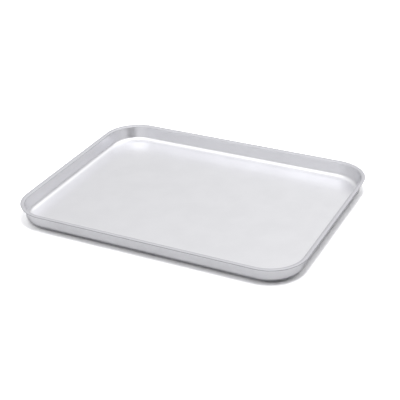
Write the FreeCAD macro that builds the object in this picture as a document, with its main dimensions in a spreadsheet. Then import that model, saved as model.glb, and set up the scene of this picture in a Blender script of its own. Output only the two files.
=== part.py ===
"""Aluminium baking tray, drawn from one sheet: a flat floor, low flared walls and a narrow crowned lip.

Millimetres, +Z up. The origin is the middle of the underside, where the tray stands; the long side is X.
"""
import FreeCAD, Part
import math
import os
import Sketcher

doc = FreeCAD.newDocument("baking_tray")

# Driving dimensions, each with what it measures on the tray
DIMENSIONS = [
    ("rim_length", 450, "over the lip, along the long side"),
    ("rim_width", 350, "over the lip, along the short side"),
    ("rim_corner_radius", 56, "plan radius of the lip's outer edge"),
    ("overall_height", 26, "underside to the top of the lip"),
    ("sheet_thickness", 1.2, "aluminium sheet, the same all over"),
    ("wall_flare", 5, "degrees that the walls lean outwards"),
    ("foot_radius", 8, "inside, between floor and wall"),
    ("bend_radius", 3, "upper face, where the wall turns over into the lip"),
    ("lip_width", 7, "from the inner wall's top to the lip's outer edge"),
    ("crown_radius", 9, "rounding of the lip's upper face"),
    ("lip_drop", 0.5, "how far the lip's edge lies below its crown"),
]
sizes = doc.addObject("Spreadsheet::Sheet", "sizes")
for row, (alias, value, meaning) in enumerate(DIMENSIONS, start=1):
    sizes.set(f"A{row}", alias)
    sizes.set(f"B{row}", str(value))
    sizes.set(f"C{row}", meaning)
    sizes.setAlias(f"B{row}", alias)
doc.recompute()


def size(alias):
    return float(getattr(sizes, alias))


# The places on a line or arc and a sketch's own axes, in the order in which a sketch numbers them:
# places from 0 upwards, axes from -1 downwards
PLACES = ("whole", "start", "end", "centre")
AXES = ("x axis", "y axis")
ORIGIN = ("x axis", "start")


def constrain(sketch, kind, *where, name=None, formula=None):
    """Adds one constraint to a sketch; a named one takes its value from the sheet by its formula."""
    named = {place: number for number, place in enumerate(PLACES)}
    named.update({axis: -1 - number for number, axis in enumerate(AXES)})
    index = sketch.addConstraint(Sketcher.Constraint(kind, *[named.get(item, item) for item in where]))
    if name:
        sketch.renameConstraint(index, name)
    if formula:
        sketch.setExpression(f"Constraints.{name}", formula)
    return index


def arc(centre_x, centre_y, radius, start, end):
    """Arc of a circle in a sketch's plane, anticlockwise between two angles in degrees."""
    circle = Part.Circle(FreeCAD.Vector(centre_x, centre_y, 0), FreeCAD.Vector(0, 0, 1), radius)
    return Part.ArcOfCircle(circle, math.radians(start), math.radians(end))


def line(x1, y1, x2, y2):
    return Part.LineSegment(FreeCAD.Vector(x1, y1, 0), FreeCAD.Vector(x2, y2, 0))


def make_section():
    """Upper face of the sheet, cut across the middle of the right-hand wall.

    It runs from the edge of the flat floor through the foot's radius, up the flared wall, round the
    bend and over the crown to the lip's outer edge.
    """
    sketch = doc.addObject("Sketcher::SketchObject", "wall_section")
    sketch.Placement = FreeCAD.Placement(FreeCAD.Vector(0, 0, 0), FreeCAD.Rotation(FreeCAD.Vector(1, 0, 0), 90))
    # first guesses of the places and angles, which the constraints then make exact
    rim_x = size("rim_length") / 2
    wall_x = rim_x - size("lip_width")
    height = size("overall_height")
    floor_z = size("sheet_thickness")
    foot_r, bend_r, crown_r = size("foot_radius"), size("bend_radius"), size("crown_radius")
    flare = size("wall_flare")
    crown_half = 20
    foot = sketch.addGeometry(arc(wall_x - foot_r, floor_z + foot_r, foot_r, 270, 360 - flare))
    wall = sketch.addGeometry(line(wall_x, floor_z + foot_r, wall_x, height - bend_r))
    bend = sketch.addGeometry(arc(wall_x + bend_r, height - bend_r, bend_r, 90 + crown_half, 180 - flare))
    crown = sketch.addGeometry(arc(rim_x - bend_r, height - crown_r, crown_r, 90 - crown_half, 90 + crown_half))
    constrain(sketch, "Tangent", foot, "end", wall, "start")
    constrain(sketch, "Tangent", wall, "end", bend, "end")
    constrain(sketch, "Tangent", bend, "start", crown, "end")
    constrain(sketch, "Vertical", foot, "start", foot, "centre")
    constrain(sketch, "Radius", foot, foot_r, name="foot_radius", formula="sizes.foot_radius")
    constrain(sketch, "Radius", bend, bend_r, name="bend_radius", formula="sizes.bend_radius")
    constrain(sketch, "Radius", crown, crown_r, name="crown_radius", formula="sizes.crown_radius")
    constrain(sketch, "Angle", wall, math.radians(90 - flare), name="wall_angle",
              formula="(90 - sizes.wall_flare) * 1deg")
    constrain(sketch, "DistanceY", *ORIGIN, foot, "start", floor_z, name="floor_height",
              formula="sizes.sheet_thickness")
    constrain(sketch, "DistanceY", *ORIGIN, crown, "centre", height - crown_r, name="crown_centre_height",
              formula="sizes.overall_height - sizes.crown_radius")
    constrain(sketch, "DistanceY", *ORIGIN, crown, "start", height - size("lip_drop"), name="lip_edge_height",
              formula="sizes.overall_height - sizes.lip_drop")
    constrain(sketch, "DistanceX", *ORIGIN, crown, "start", rim_x, name="lip_edge_reach",
              formula="sizes.rim_length / 2")
    constrain(sketch, "DistanceX", bend, "end", crown, "start", size("lip_width"), name="lip_width",
              formula="sizes.lip_width")
    # how far the flat floor's edge lies inside the lip's edge, read off by the floor's outline
    inset = constrain(sketch, "DistanceX", foot, "start", crown, "start", size("lip_width") + foot_r, name="floor_inset")
    sketch.setDriving(inset, False)
    return sketch


def make_floor_outline(section):
    """Outline of the flat floor: a rounded rectangle, starting where the section stands."""
    sketch = doc.addObject("Sketcher::SketchObject", "floor_outline")
    inset = section.getDatum("floor_inset").Value
    half_x = size("rim_length") / 2 - inset
    half_y = size("rim_width") / 2 - inset
    radius = size("rim_corner_radius") - inset
    corner_x, corner_y = half_x - radius, half_y - radius
    right_upper = sketch.addGeometry(line(half_x, 0, half_x, corner_y))
    back_right = sketch.addGeometry(arc(corner_x, corner_y, radius, 0, 90))
    back = sketch.addGeometry(line(corner_x, half_y, -corner_x, half_y))
    back_left = sketch.addGeometry(arc(-corner_x, corner_y, radius, 90, 180))
    left = sketch.addGeometry(line(-half_x, corner_y, -half_x, -corner_y))
    front_left = sketch.addGeometry(arc(-corner_x, -corner_y, radius, 180, 270))
    front = sketch.addGeometry(line(-corner_x, -half_y, corner_x, -half_y))
    front_right = sketch.addGeometry(arc(corner_x, -corner_y, radius, 270, 360))
    right_lower = sketch.addGeometry(line(half_x, -corner_y, half_x, 0))
    loop = [right_upper, back_right, back, back_left, left, front_left, front, front_right, right_lower]
    for first, second in zip(loop[:-1], loop[1:]):
        constrain(sketch, "Tangent", first, "end", second, "start")
    constrain(sketch, "Coincident", right_lower, "end", right_upper, "start")
    constrain(sketch, "Vertical", right_upper)
    constrain(sketch, "Vertical", right_lower)
    constrain(sketch, "Horizontal", front)
    constrain(sketch, "PointOnObject", right_upper, "start", "x axis")
    constrain(sketch, "Symmetric", back, "start", back, "end", "y axis")
    constrain(sketch, "Symmetric", left, "start", left, "end", "x axis")
    for corner in (back_left, front_left, front_right):
        constrain(sketch, "Equal", back_right, corner)
    constrain(sketch, "Radius", back_right, radius, name="corner_radius",
              formula="sizes.rim_corner_radius * 1mm - wall_section.Constraints.floor_inset")
    constrain(sketch, "DistanceX", *ORIGIN, right_upper, "start", half_x, name="half_length",
              formula="sizes.rim_length / 2 * 1mm - wall_section.Constraints.floor_inset")
    constrain(sketch, "DistanceY", *ORIGIN, back, "start", half_y, name="half_width",
              formula="sizes.rim_width / 2 * 1mm - wall_section.Constraints.floor_inset")
    return sketch


def make_tray():
    section = make_section()
    doc.recompute()
    outline = make_floor_outline(section)
    doc.recompute()

    # The drawn wall: the section gets the sheet's thickness on its outer side and goes once round the floor
    thick_section = doc.addObject("Part::Offset2D", "thick_section")
    thick_section.Source = section
    thick_section.Mode = "Skin"
    thick_section.Fill = True
    thick_section.setExpression("Value", "-sizes.sheet_thickness")
    wall = doc.addObject("Part::Sweep", "wall_and_lip")
    wall.Sections = [thick_section]
    wall.Spine = (outline, [f"Edge{number}" for number in range(1, outline.GeometryCount + 1)])
    wall.Solid = True

    floor = doc.addObject("Part::Extrusion", "floor")
    floor.Base = outline
    floor.DirMode = "Custom"
    floor.Dir = FreeCAD.Vector(0, 0, 1)
    floor.Solid = True
    floor.setExpression("LengthFwd", "sizes.sheet_thickness")

    tray = doc.addObject("Part::MultiFuse", "tray")
    tray.Shapes = [wall, floor]
    tray.Refine = True
    tray.Label = "baking_tray"
    return tray


tray = make_tray()
doc.recompute()

for item in doc.Objects:
    if "Invalid" in item.State or "Error" in item.State:
        raise RuntimeError(f"{item.Name} did not build: {item.State}")
if tray.Shape.isNull() or not tray.Shape.isValid() or len(tray.Shape.Solids) != 1:
    raise RuntimeError("the tray is not one valid solid")

os.makedirs("parts", exist_ok=True)
tray.Shape.exportStep(f"parts/{tray.Label}.step")
box = tray.Shape.optimalBoundingBox(False)
print(f"{tray.Label}: {box.XLength:.2f} x {box.YLength:.2f} x {box.ZLength:.2f} mm,"
      f" {tray.Shape.Volume / 1000:.1f} cm3, {len(tray.Shape.Faces)} faces")
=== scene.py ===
# Aluminium baking tray standing on a white studio floor. Metres, in the frame of the solid model.
import math
import bmesh
import bpy
from mathutils import Euler, Matrix, Vector


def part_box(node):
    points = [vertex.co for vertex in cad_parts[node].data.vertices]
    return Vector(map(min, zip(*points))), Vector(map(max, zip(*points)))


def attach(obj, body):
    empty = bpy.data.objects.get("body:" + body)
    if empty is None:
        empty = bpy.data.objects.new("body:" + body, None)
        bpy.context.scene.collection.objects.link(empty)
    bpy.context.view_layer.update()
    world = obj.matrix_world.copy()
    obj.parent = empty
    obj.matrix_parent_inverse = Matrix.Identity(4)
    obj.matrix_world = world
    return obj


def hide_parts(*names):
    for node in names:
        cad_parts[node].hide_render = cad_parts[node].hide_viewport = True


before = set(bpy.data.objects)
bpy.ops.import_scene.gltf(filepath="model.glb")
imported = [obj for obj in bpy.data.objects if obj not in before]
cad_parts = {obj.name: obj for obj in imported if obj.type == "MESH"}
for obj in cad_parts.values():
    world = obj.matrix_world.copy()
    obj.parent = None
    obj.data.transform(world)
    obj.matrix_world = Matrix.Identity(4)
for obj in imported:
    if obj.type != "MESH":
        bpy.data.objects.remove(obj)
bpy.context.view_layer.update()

# The tray.
# One sheet of aluminium, pressed over a die in a single stroke: flat floor, low flared walls with a round
# foot, and a narrow lip rolled over to a gentle crown. Its cut edge is sheared, lightly filed and bare.
MM = 0.001
rim_low, rim_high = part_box("baking_tray")
rim_length = rim_high.x - rim_low.x
rim_width = rim_high.y - rim_low.y
tray_height = rim_high.z - rim_low.z
rim_corner_radius = 56 * MM
sheet = 1.2 * MM
wall_flare = math.radians(5)
foot_radius = 8 * MM
bend_radius = 3 * MM
lip_width = 7 * MM
crown_radius = 9 * MM
lip_drop = 0.5 * MM
filed_edge = 0.15 * MM
filed_round = 0.3
floor_margin = 12 * MM
floor_strip = floor_margin / 3

# How finely the arcs of the section, its corners in plan and its path round the tray are divided
foot_steps = 12
bend_steps = 8
crown_steps = 7
under_bend_steps = 6
under_crown_steps = 5
corner_steps = 24
path_step = 2.0 * MM
weld_distance = 0.01 * MM


def arc_points(centre, radius, start, end, steps):
    """Points round an arc, from one angle to another, both ends included."""
    angles = [start + (end - start) * step / steps for step in range(steps + 1)]
    return [(centre[0] + radius * math.cos(a), centre[1] + radius * math.sin(a)) for a in angles]


def sheet_section():
    """The sheet cut across a wall: its upper face, its cut edge and its under face.

    A point is (distance out from the lip's edge, so below 0, and height). The upper face runs from the flat
    floor's outer strip up the wall and over the lip, and the under face runs back.
    """
    lip_tilt = math.acos(1 - lip_drop / crown_radius)
    lip_end = math.pi / 2 - lip_tilt
    crown = (-crown_radius * math.sin(lip_tilt), tray_height - crown_radius)
    bend_x = -lip_width + bend_radius * math.cos(wall_flare)
    bend_rise = math.sqrt((crown_radius - bend_radius) ** 2 - (bend_x - crown[0]) ** 2)
    bend = (bend_x, crown[1] + bend_rise)
    join = math.atan2(bend_rise, bend_x - crown[0])
    wall_end = math.pi - wall_flare
    foot_height = sheet + foot_radius
    wall_top = bend[1] + bend_radius * math.sin(wall_flare)
    wall_foot = foot_height - foot_radius * math.sin(wall_flare)
    wall_lean = (wall_top - wall_foot) * math.tan(wall_flare)
    foot_x = -lip_width - wall_lean - foot_radius * math.cos(wall_flare)
    foot = (foot_x, foot_height)
    straight_down = -math.pi / 2
    filed = filed_edge / crown_radius

    upper = [(foot_x - floor_margin, sheet), (foot_x - floor_strip, sheet)]
    upper += arc_points(foot, foot_radius, straight_down, -wall_flare, foot_steps)
    upper += arc_points(bend, bend_radius, wall_end, join, bend_steps)
    upper += arc_points(crown, crown_radius, join, lip_end + filed, crown_steps)[1:]
    under = arc_points(crown, crown_radius - sheet, lip_end + filed, join, under_crown_steps)
    under += arc_points(bend, bend_radius - sheet, join, wall_end, under_bend_steps)[1:]
    under += arc_points(foot, foot_radius + sheet, -wall_flare, straight_down, foot_steps)
    under += [(foot_x - floor_strip, 0), (foot_x - floor_margin, 0)]

    # two points round off each filed corner; depth and setback are counted in filings
    whole = sheet / filed_edge
    filed_corners = [(filed_round, filed_round), (1, 0), (whole - 1, 0), (whole - filed_round, filed_round)]
    edge = [upper[-1]]
    for depth, setback in filed_corners:
        angle = lip_end + setback * filed
        radius = crown_radius - depth * filed_edge
        edge.append((crown[0] + radius * math.cos(angle), crown[1] + radius * math.sin(angle)))
    edge.append(under[0])
    return upper, edge, under


def add_node(tree, kind, inputs=None, **settings):
    """Adds a node with its settings; inputs maps a socket's name or number to a value or an output."""
    node = tree.nodes.new(kind)
    for name, value in settings.items():
        setattr(node, name, value)
    for key, value in (inputs or {}).items():
        if isinstance(value, bpy.types.NodeSocket):
            tree.links.new(value, node.inputs[key])
        else:
            node.inputs[key].default_value = value
    return node


def linear_colour(code):
    """Linear colour of an sRGB hex code, opaque."""
    parts = [int(code[i:i + 2], 16) / 255 for i in (1, 3, 5)]
    return (*[p / 12.92 if p <= 0.04045 else ((p + 0.055) / 1.055) ** 2.4 for p in parts], 1)


# The numbers by which a Mix node's colour sockets go
first_colour, second_colour, mixed_colour = 6, 7, 2

# The faces' finish. The rolls' real grain is 0.2 mm wide, and is drawn six times as coarse, so that it
# shows. The lip's duller finish, whose darker grey is painted shade, starts, and is full, at these depths
# below its crown
rolled_grey = "#E4E4E7"
clouded_grey = "#E1E1E4"
# the lip's darker grey is painted shade on the rim
lip_shade_grey = "#CACACE"
satin_roughness = 0.295
roughness_drift = 0.012
lip_roughness = 0.63
lip_start = 3.0 * MM
lip_full = 1.2 * MM
cloud_size = 45 * MM
cloud_low, cloud_high = 0.3, 0.7
cloud_detail = 3.0
grain_length = 60 * MM
grain_width = 1.2 * MM
grain_depth = 0.02 * MM
grain_detail = 3.0


def satin_rolled_aluminium():
    """Aluminium sheet as it leaves the rolls and the press: satin, so that it mirrors the room only softly.

    The eye sees a cool light grey, with lights and darks that melt into each other and drift a little, and a
    faint grain along the tray. The lip was gripped by the press's ring, and hands hold it, so it is duller.
    Its darker grey is painted shade, which darkens the rim.
    """
    material = bpy.data.materials.new("satin_rolled_aluminium")
    material.use_nodes = True
    tree = material.node_tree
    shader = tree.nodes["Principled BSDF"]
    shader.inputs["Metallic"].default_value = 1.0
    place = add_node(tree, "ShaderNodeTexCoord").outputs["Object"]
    height = add_node(tree, "ShaderNodeSeparateXYZ", {"Vector": place}).outputs["Z"]
    lip = add_node(tree, "ShaderNodeMapRange", {
        "Value": height, "From Min": tray_height - lip_start, "From Max": tray_height - lip_full,
    }, interpolation_type="SMOOTHSTEP").outputs["Result"]

    cloud = add_node(tree, "ShaderNodeTexNoise", {
        "Vector": place, "Scale": 1 / cloud_size, "Detail": cloud_detail,
    }).outputs["Fac"]
    drift = add_node(tree, "ShaderNodeMapRange", {
        "Value": cloud, "From Min": cloud_low, "From Max": cloud_high,
    }, interpolation_type="SMOOTHSTEP").outputs["Result"]

    rolled_roughness = add_node(tree, "ShaderNodeMix", {
        "Factor": drift, "A": satin_roughness - roughness_drift, "B": satin_roughness + roughness_drift,
    }).outputs["Result"]
    roughness = add_node(tree, "ShaderNodeMix", {
        "Factor": lip, "A": rolled_roughness, "B": lip_roughness,
    }).outputs["Result"]
    tree.links.new(roughness, shader.inputs["Roughness"])

    rolled_colour = add_node(tree, "ShaderNodeMix", {
        "Factor": drift,
        first_colour: linear_colour(rolled_grey),
        second_colour: linear_colour(clouded_grey),
    }, data_type="RGBA").outputs[mixed_colour]
    # towards the lip the colour turns to a darker grey: painted shade on the rim
    colour = add_node(tree, "ShaderNodeMix", {
        "Factor": lip,
        first_colour: rolled_colour,
        second_colour: linear_colour(lip_shade_grey),
    }, data_type="RGBA").outputs[mixed_colour]
    tree.links.new(colour, shader.inputs["Base Color"])

    scales = (1 / grain_length, 1 / grain_width, 1 / grain_width)
    along = add_node(tree, "ShaderNodeMapping", {"Vector": place, "Scale": scales}).outputs["Vector"]
    grain = add_node(tree, "ShaderNodeTexNoise", {"Vector": along, "Scale": 1.0, "Detail": grain_detail})
    relief = add_node(tree, "ShaderNodeBump", {"Height": grain.outputs["Fac"], "Distance": grain_depth})
    tree.links.new(relief.outputs["Normal"], shader.inputs["Normal"])
    return material


# The cut edge's finish. The real tears are about 0.2 mm wide, and are drawn three times as coarse
torn_grey = "#86878B"
burnished_grey = "#B4B5B9"
torn_roughness = 0.75
burnished_roughness = 0.5
burnished_width = 0.5 * MM
tear_size = 0.6 * MM
tear_depth = 0.1 * MM
tear_detail = 2.0


def sheared_aluminium():
    """The cut edge as the shear leaves it: a smooth bright band above and a torn, dull one below."""
    material = bpy.data.materials.new("sheared_aluminium_edge")
    material.use_nodes = True
    tree = material.node_tree
    shader = tree.nodes["Principled BSDF"]
    shader.inputs["Metallic"].default_value = 1.0
    place = add_node(tree, "ShaderNodeTexCoord").outputs["Object"]
    height = add_node(tree, "ShaderNodeSeparateXYZ", {"Vector": place}).outputs["Z"]
    edge_top = tray_height - lip_drop
    band = add_node(tree, "ShaderNodeMapRange", {
        "Value": height, "From Min": edge_top - burnished_width, "From Max": edge_top - burnished_width / 2,
    }, interpolation_type="SMOOTHSTEP").outputs["Result"]
    roughness = add_node(tree, "ShaderNodeMix", {
        "Factor": band, "A": torn_roughness, "B": burnished_roughness,
    }).outputs["Result"]
    tree.links.new(roughness, shader.inputs["Roughness"])
    colour = add_node(tree, "ShaderNodeMix", {
        "Factor": band,
        first_colour: linear_colour(torn_grey),
        second_colour: linear_colour(burnished_grey),
    }, data_type="RGBA").outputs[mixed_colour]
    tree.links.new(colour, shader.inputs["Base Color"])
    tear = add_node(tree, "ShaderNodeTexNoise", {
        "Vector": place, "Scale": 1 / tear_size, "Detail": tear_detail,
    }).outputs["Fac"]
    relief = add_node(tree, "ShaderNodeBump", {"Height": tear, "Distance": tear_depth})
    tree.links.new(relief.outputs["Normal"], shader.inputs["Normal"])
    return material


def tray_nodes():
    """Node tree: sweeps the sheet's section round the floor, then closes the floor above and below."""
    tree = bpy.data.node_groups.new("pressed_tray", "GeometryNodeTree")
    for name in ("Floor length", "Floor width", "Corner radius", "Path step", "Sheet"):
        tree.interface.new_socket(name, in_out="INPUT", socket_type="NodeSocketFloat")
    for name in ("Faces section", "Edge section"):
        tree.interface.new_socket(name, in_out="INPUT", socket_type="NodeSocketObject")
    for name in ("Face finish", "Edge finish"):
        tree.interface.new_socket(name, in_out="INPUT", socket_type="NodeSocketMaterial")
    tree.interface.new_socket("Tray", in_out="OUTPUT", socket_type="NodeSocketGeometry")
    given = add_node(tree, "NodeGroupInput").outputs

    corners = add_node(tree, "GeometryNodeCurvePrimitiveQuadrilateral", {
        "Width": given["Floor length"], "Height": given["Floor width"],
    }).outputs["Curve"]
    rounded = add_node(tree, "GeometryNodeFilletCurve", {
        "Curve": corners, "Count": corner_steps, "Radius": given["Corner radius"],
    }, mode="POLY").outputs["Curve"]
    even = add_node(tree, "GeometryNodeResampleCurve", {
        "Curve": rounded, "Length": given["Path step"],
    }, mode="LENGTH").outputs["Curve"]
    path = add_node(tree, "GeometryNodeSetCurveNormal", {"Curve": even}, mode="Z_UP").outputs["Curve"]

    faces = add_node(tree, "GeometryNodeObjectInfo", {"Object": given["Faces section"]}).outputs["Geometry"]
    edge = add_node(tree, "GeometryNodeObjectInfo", {"Object": given["Edge section"]}).outputs["Geometry"]
    face_sweep = add_node(tree, "GeometryNodeCurveToMesh", {"Curve": path, "Profile Curve": faces})
    edge_sweep = add_node(tree, "GeometryNodeCurveToMesh", {"Curve": path, "Profile Curve": edge})
    marked = add_node(tree, "GeometryNodeStoreNamedAttribute", {
        "Geometry": edge_sweep.outputs["Mesh"], "Name": "cut_edge", "Value": True,
    }, data_type="BOOLEAN", domain="FACE").outputs["Geometry"]
    underside = add_node(tree, "GeometryNodeFillCurve", {"Curve": path}, mode="NGONS").outputs["Mesh"]
    lift = add_node(tree, "ShaderNodeCombineXYZ", {"Z": given["Sheet"]}).outputs["Vector"]
    floor = add_node(tree, "GeometryNodeTransform", {
        "Geometry": underside, "Translation": lift,
    }).outputs["Geometry"]

    pieces = add_node(tree, "GeometryNodeJoinGeometry")
    for mesh in (face_sweep.outputs["Mesh"], marked, underside, floor):
        tree.links.new(mesh, pieces.inputs["Geometry"])
    welded = add_node(tree, "GeometryNodeMergeByDistance", {
        "Geometry": pieces.outputs["Geometry"], "Distance": weld_distance,
    }).outputs["Geometry"]
    smooth = add_node(tree, "GeometryNodeSetShadeSmooth", {"Geometry": welded}).outputs["Geometry"]
    real = add_node(tree, "GeometryNodeRealizeInstances", {"Geometry": smooth}).outputs["Geometry"]
    cut = add_node(tree, "GeometryNodeInputNamedAttribute", {"Name": "cut_edge"}, data_type="BOOLEAN")
    all_faces = add_node(tree, "GeometryNodeSetMaterial", {
        "Geometry": real, "Material": given["Face finish"],
    }).outputs["Geometry"]
    finished = add_node(tree, "GeometryNodeSetMaterial", {
        "Geometry": all_faces, "Selection": cut.outputs["Attribute"], "Material": given["Edge finish"],
    }).outputs["Geometry"]
    add_node(tree, "NodeGroupOutput", {"Tray": finished})
    return tree


def section_curve(name, lines, path_inset):
    """Helper curve in the sweep's own axes, one spline a line: X points outwards from the path, Y down."""
    curve = bpy.data.curves.new(name, "CURVE")
    curve.dimensions = "3D"
    for points in lines:
        spline = curve.splines.new("POLY")
        spline.points.add(len(points) - 1)
        for point, (x, height) in zip(spline.points, points):
            point.co = (x + path_inset, -height, 0, 1)
    item = bpy.data.objects.new(name, curve)
    bpy.context.collection.objects.link(item)
    return item


def make_tray():
    """The whole tray as one plain mesh, swept from its section and turned to face outwards."""
    upper, edge, under = sheet_section()
    path_inset = -upper[0][0]
    faces = section_curve("faces_section", [upper, under], path_inset)
    rim = section_curve("edge_section", [edge], path_inset)
    tray = bpy.data.objects.new("tray_sheet", bpy.data.meshes.new("blank"))
    bpy.context.collection.objects.link(tray)
    press = tray.modifiers.new("pressed_tray", "NODES")
    press.node_group = tray_nodes()
    values = {
        "Floor length": rim_length - 2 * path_inset,
        "Floor width": rim_width - 2 * path_inset,
        "Corner radius": rim_corner_radius - path_inset,
        "Path step": path_step,
        "Sheet": sheet,
        "Faces section": faces,
        "Edge section": rim,
        "Face finish": satin_rolled_aluminium(),
        "Edge finish": sheared_aluminium(),
    }
    for socket in press.node_group.interface.items_tree:
        if socket.in_out == "INPUT":
            press[socket.identifier] = values[socket.name]
    pressed = tray.evaluated_get(bpy.context.evaluated_depsgraph_get())
    mesh = bpy.data.meshes.new_from_object(pressed)
    tray.modifiers.clear()
    blank = tray.data
    tray.data = mesh
    bpy.data.meshes.remove(blank)
    for helper in (faces, rim):
        bpy.data.objects.remove(helper)
    shell = bmesh.new()
    shell.from_mesh(mesh)
    bmesh.ops.recalc_face_normals(shell, faces=shell.faces)
    shell.to_mesh(mesh)
    shell.free()
    return tray


tray = make_tray()
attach(tray, "root")
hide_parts("baking_tray")

# The studio floor.
# A wide sheet of matt white paper that the tray stands on. It lies a hair under the tray, so that the two
# faces don't share one plane.
paper_half = 4.0
paper_drop = 0.05 * MM
paper_white = "#E6E6E7"
paper_gain = 0.7


def white_paper():
    """Matt white paper. It keeps the tray's shadow, and the camera sees its lit part as pure white."""
    material = bpy.data.materials.new("white_paper")
    material.use_nodes = True
    tree = material.node_tree
    tree.nodes.remove(tree.nodes["Principled BSDF"])
    paper = add_node(tree, "ShaderNodeBsdfDiffuse", {"Color": linear_colour(paper_white)})
    ray = add_node(tree, "ShaderNodeLightPath").outputs
    gain = add_node(tree, "ShaderNodeMath", {0: ray["Is Camera Ray"], 1: paper_gain}, operation="MULTIPLY")
    extra = add_node(tree, "ShaderNodeBsdfDiffuse", {"Color": gain.outputs["Value"]})
    both = add_node(tree, "ShaderNodeAddShader", {0: paper.outputs["BSDF"], 1: extra.outputs["BSDF"]})
    tree.links.new(both.outputs["Shader"], tree.nodes["Material Output"].inputs["Surface"])
    return material


def make_floor():
    mesh = bpy.data.meshes.new("studio_floor")
    turns = ((-1, -1), (1, -1), (1, 1), (-1, 1))
    corners = [(x * paper_half, y * paper_half, -paper_drop) for x, y in turns]
    mesh.from_pydata(corners, [], [(0, 1, 2, 3)])
    mesh.materials.append(white_paper())
    floor = bpy.data.objects.new("studio_floor", mesh)
    bpy.context.collection.objects.link(floor)
    return floor


make_floor()

# The room and its lamps.
# A soft box hangs overhead, and the room lights the paper from behind and from the left. The metal mirrors a
# pale room, greyer at the horizon and to the left, with two broad windows high up, a dimmer ceiling, and a
# dark camera stand low down to the front and right.
upwards = Vector((0, 0, 1))
rightwards = Vector((1, 0, 0))
forwards = Vector((0, -1, 0))
back_right = Vector((0.51, 0.86, 0))
front_right = Vector((0.8, -0.6, 0))
stand_side = Vector((0.69, -0.69, 0.22))
dark_angle = math.radians(40)
dark_side = Vector((math.sin(dark_angle), -math.cos(dark_angle), 0))
soft_box_size = 0.4
soft_box_watts = 20
soft_box_place = Vector((0.4, -0.35, 2.1))

# Each step of brightness: the direction along which it lies, where it starts and ends on it, and the levels
# before and after it, where 1 is white. Straight along the direction is 1, square to it is 0 and straight
# away from it is -1, so a step that ends past 1 is never quite done.
pale_walls = [
    (rightwards, -0.58, -0.25, 0.9, 1.03),
    (upwards, 0.06, 0.5, 0.58, 1),
    (forwards, -0.2, 0.7, 1, 1.12),
    (back_right, 0.6, 0.92, 1, 0.94),
    (upwards, 0.54, 0.85, 1, 1.25),
]
front_window = [
    (front_right, -0.42, 0.42, 0, 0.7),
    (upwards, 0.4, 0.6, 0, 1),
    (upwards, 0.87, 1.07, 1, 0),
    (rightwards, 0.5, 0.8, 1, 0.3),
]
right_window = [
    (rightwards, -0.1, 0.2, 0, 0.23),
    (upwards, 0.42, 0.54, 0, 1),
    (rightwards, 0.5, 0.8, 1, 0.3),
]
stand_and_ceiling = [
    (stand_side, 0.925, 0.975, 1, 0.2),
    (upwards, 0.92, 1, 1, 0.62),
]
paper_light = [(dark_side, -0.1, 0.4, 1.25, 0)]


def light_room():
    """The world: white to the camera, the pale room to the metal, and a plain light to the paper."""
    world = bpy.data.worlds.new("pale_room")
    world.use_nodes = True
    bpy.context.scene.world = world
    # the room isn't sampled as a lamp, because its light depends on the kind of ray that meets it
    world.cycles.sampling_method = "NONE"
    tree = world.node_tree
    direction = add_node(tree, "ShaderNodeTexCoord").outputs["Generated"]

    def brightness(steps):
        """All the steps' levels, multiplied together."""
        total = 1
        for along, start, end, before, after in steps:
            reach = add_node(tree, "ShaderNodeVectorMath", {
                0: direction, 1: along.normalized(),
            }, operation="DOT_PRODUCT").outputs["Value"]
            level = add_node(tree, "ShaderNodeMapRange", {
                "Value": reach, "From Min": start, "From Max": end, "To Min": before, "To Max": after,
            }, interpolation_type="SMOOTHSTEP").outputs["Result"]
            total = add_node(tree, "ShaderNodeMath", {
                0: total, 1: level,
            }, operation="MULTIPLY").outputs["Value"]
        return total

    windows = add_node(tree, "ShaderNodeMath", {
        0: brightness(front_window), 1: brightness(right_window),
    }, operation="ADD").outputs["Value"]
    lit = add_node(tree, "ShaderNodeMath", {
        0: brightness(pale_walls), 1: windows,
    }, operation="ADD").outputs["Value"]
    mirrored = add_node(tree, "ShaderNodeMath", {
        0: lit, 1: brightness(stand_and_ceiling),
    }, operation="MULTIPLY").outputs["Value"]
    ray = add_node(tree, "ShaderNodeLightPath").outputs
    unseen = add_node(tree, "ShaderNodeMix", {
        "Factor": ray["Is Glossy Ray"], "A": brightness(paper_light), "B": mirrored,
    }).outputs["Result"]
    level = add_node(tree, "ShaderNodeMix", {
        "Factor": ray["Is Camera Ray"], "A": unseen, "B": 1.0,
    }).outputs["Result"]
    background = tree.nodes["Background"]
    background.inputs["Color"].default_value = (1, 1, 1, 1)
    tree.links.new(level, background.inputs["Strength"])


def hang_soft_box():
    """Square soft box that faces the tray. The metal mirrors the room's picture instead of it."""
    lamp = bpy.data.lights.new("overhead_soft_box", "AREA")
    lamp.size = soft_box_size
    lamp.energy = soft_box_watts
    box = bpy.data.objects.new("overhead_soft_box", lamp)
    box.location = soft_box_place
    box.rotation_euler = (-soft_box_place).to_track_quat("-Z", "Y").to_euler()
    box.visible_glossy = False
    bpy.context.collection.objects.link(box)


light_room()
hang_soft_box()

# The camera.
# It stands in front of the tray and to the right, looks down on it a little rolled, and has a long lens.
azimuth = math.radians(26.31)
elevation = math.radians(28.36)
roll = math.radians(-1.17)
aim = Vector((0.0016, 0.0101, 0))
distance = 1.5791
lens = bpy.data.cameras.new("camera")
lens.sensor_width = 36
lens.lens = 93.0
lens.clip_end = 30
camera = bpy.data.objects.new("camera", lens)
bpy.context.collection.objects.link(camera)
turn = Euler((math.pi / 2 - elevation, 0, azimuth)).to_matrix() @ Matrix.Rotation(roll, 3, "Z")
camera.matrix_world = Matrix.Translation(aim + turn @ Vector((0, 0, distance))) @ turn.to_4x4()
bpy.context.scene.camera = camera
bpy.context.scene.view_settings.view_transform = "Standard"
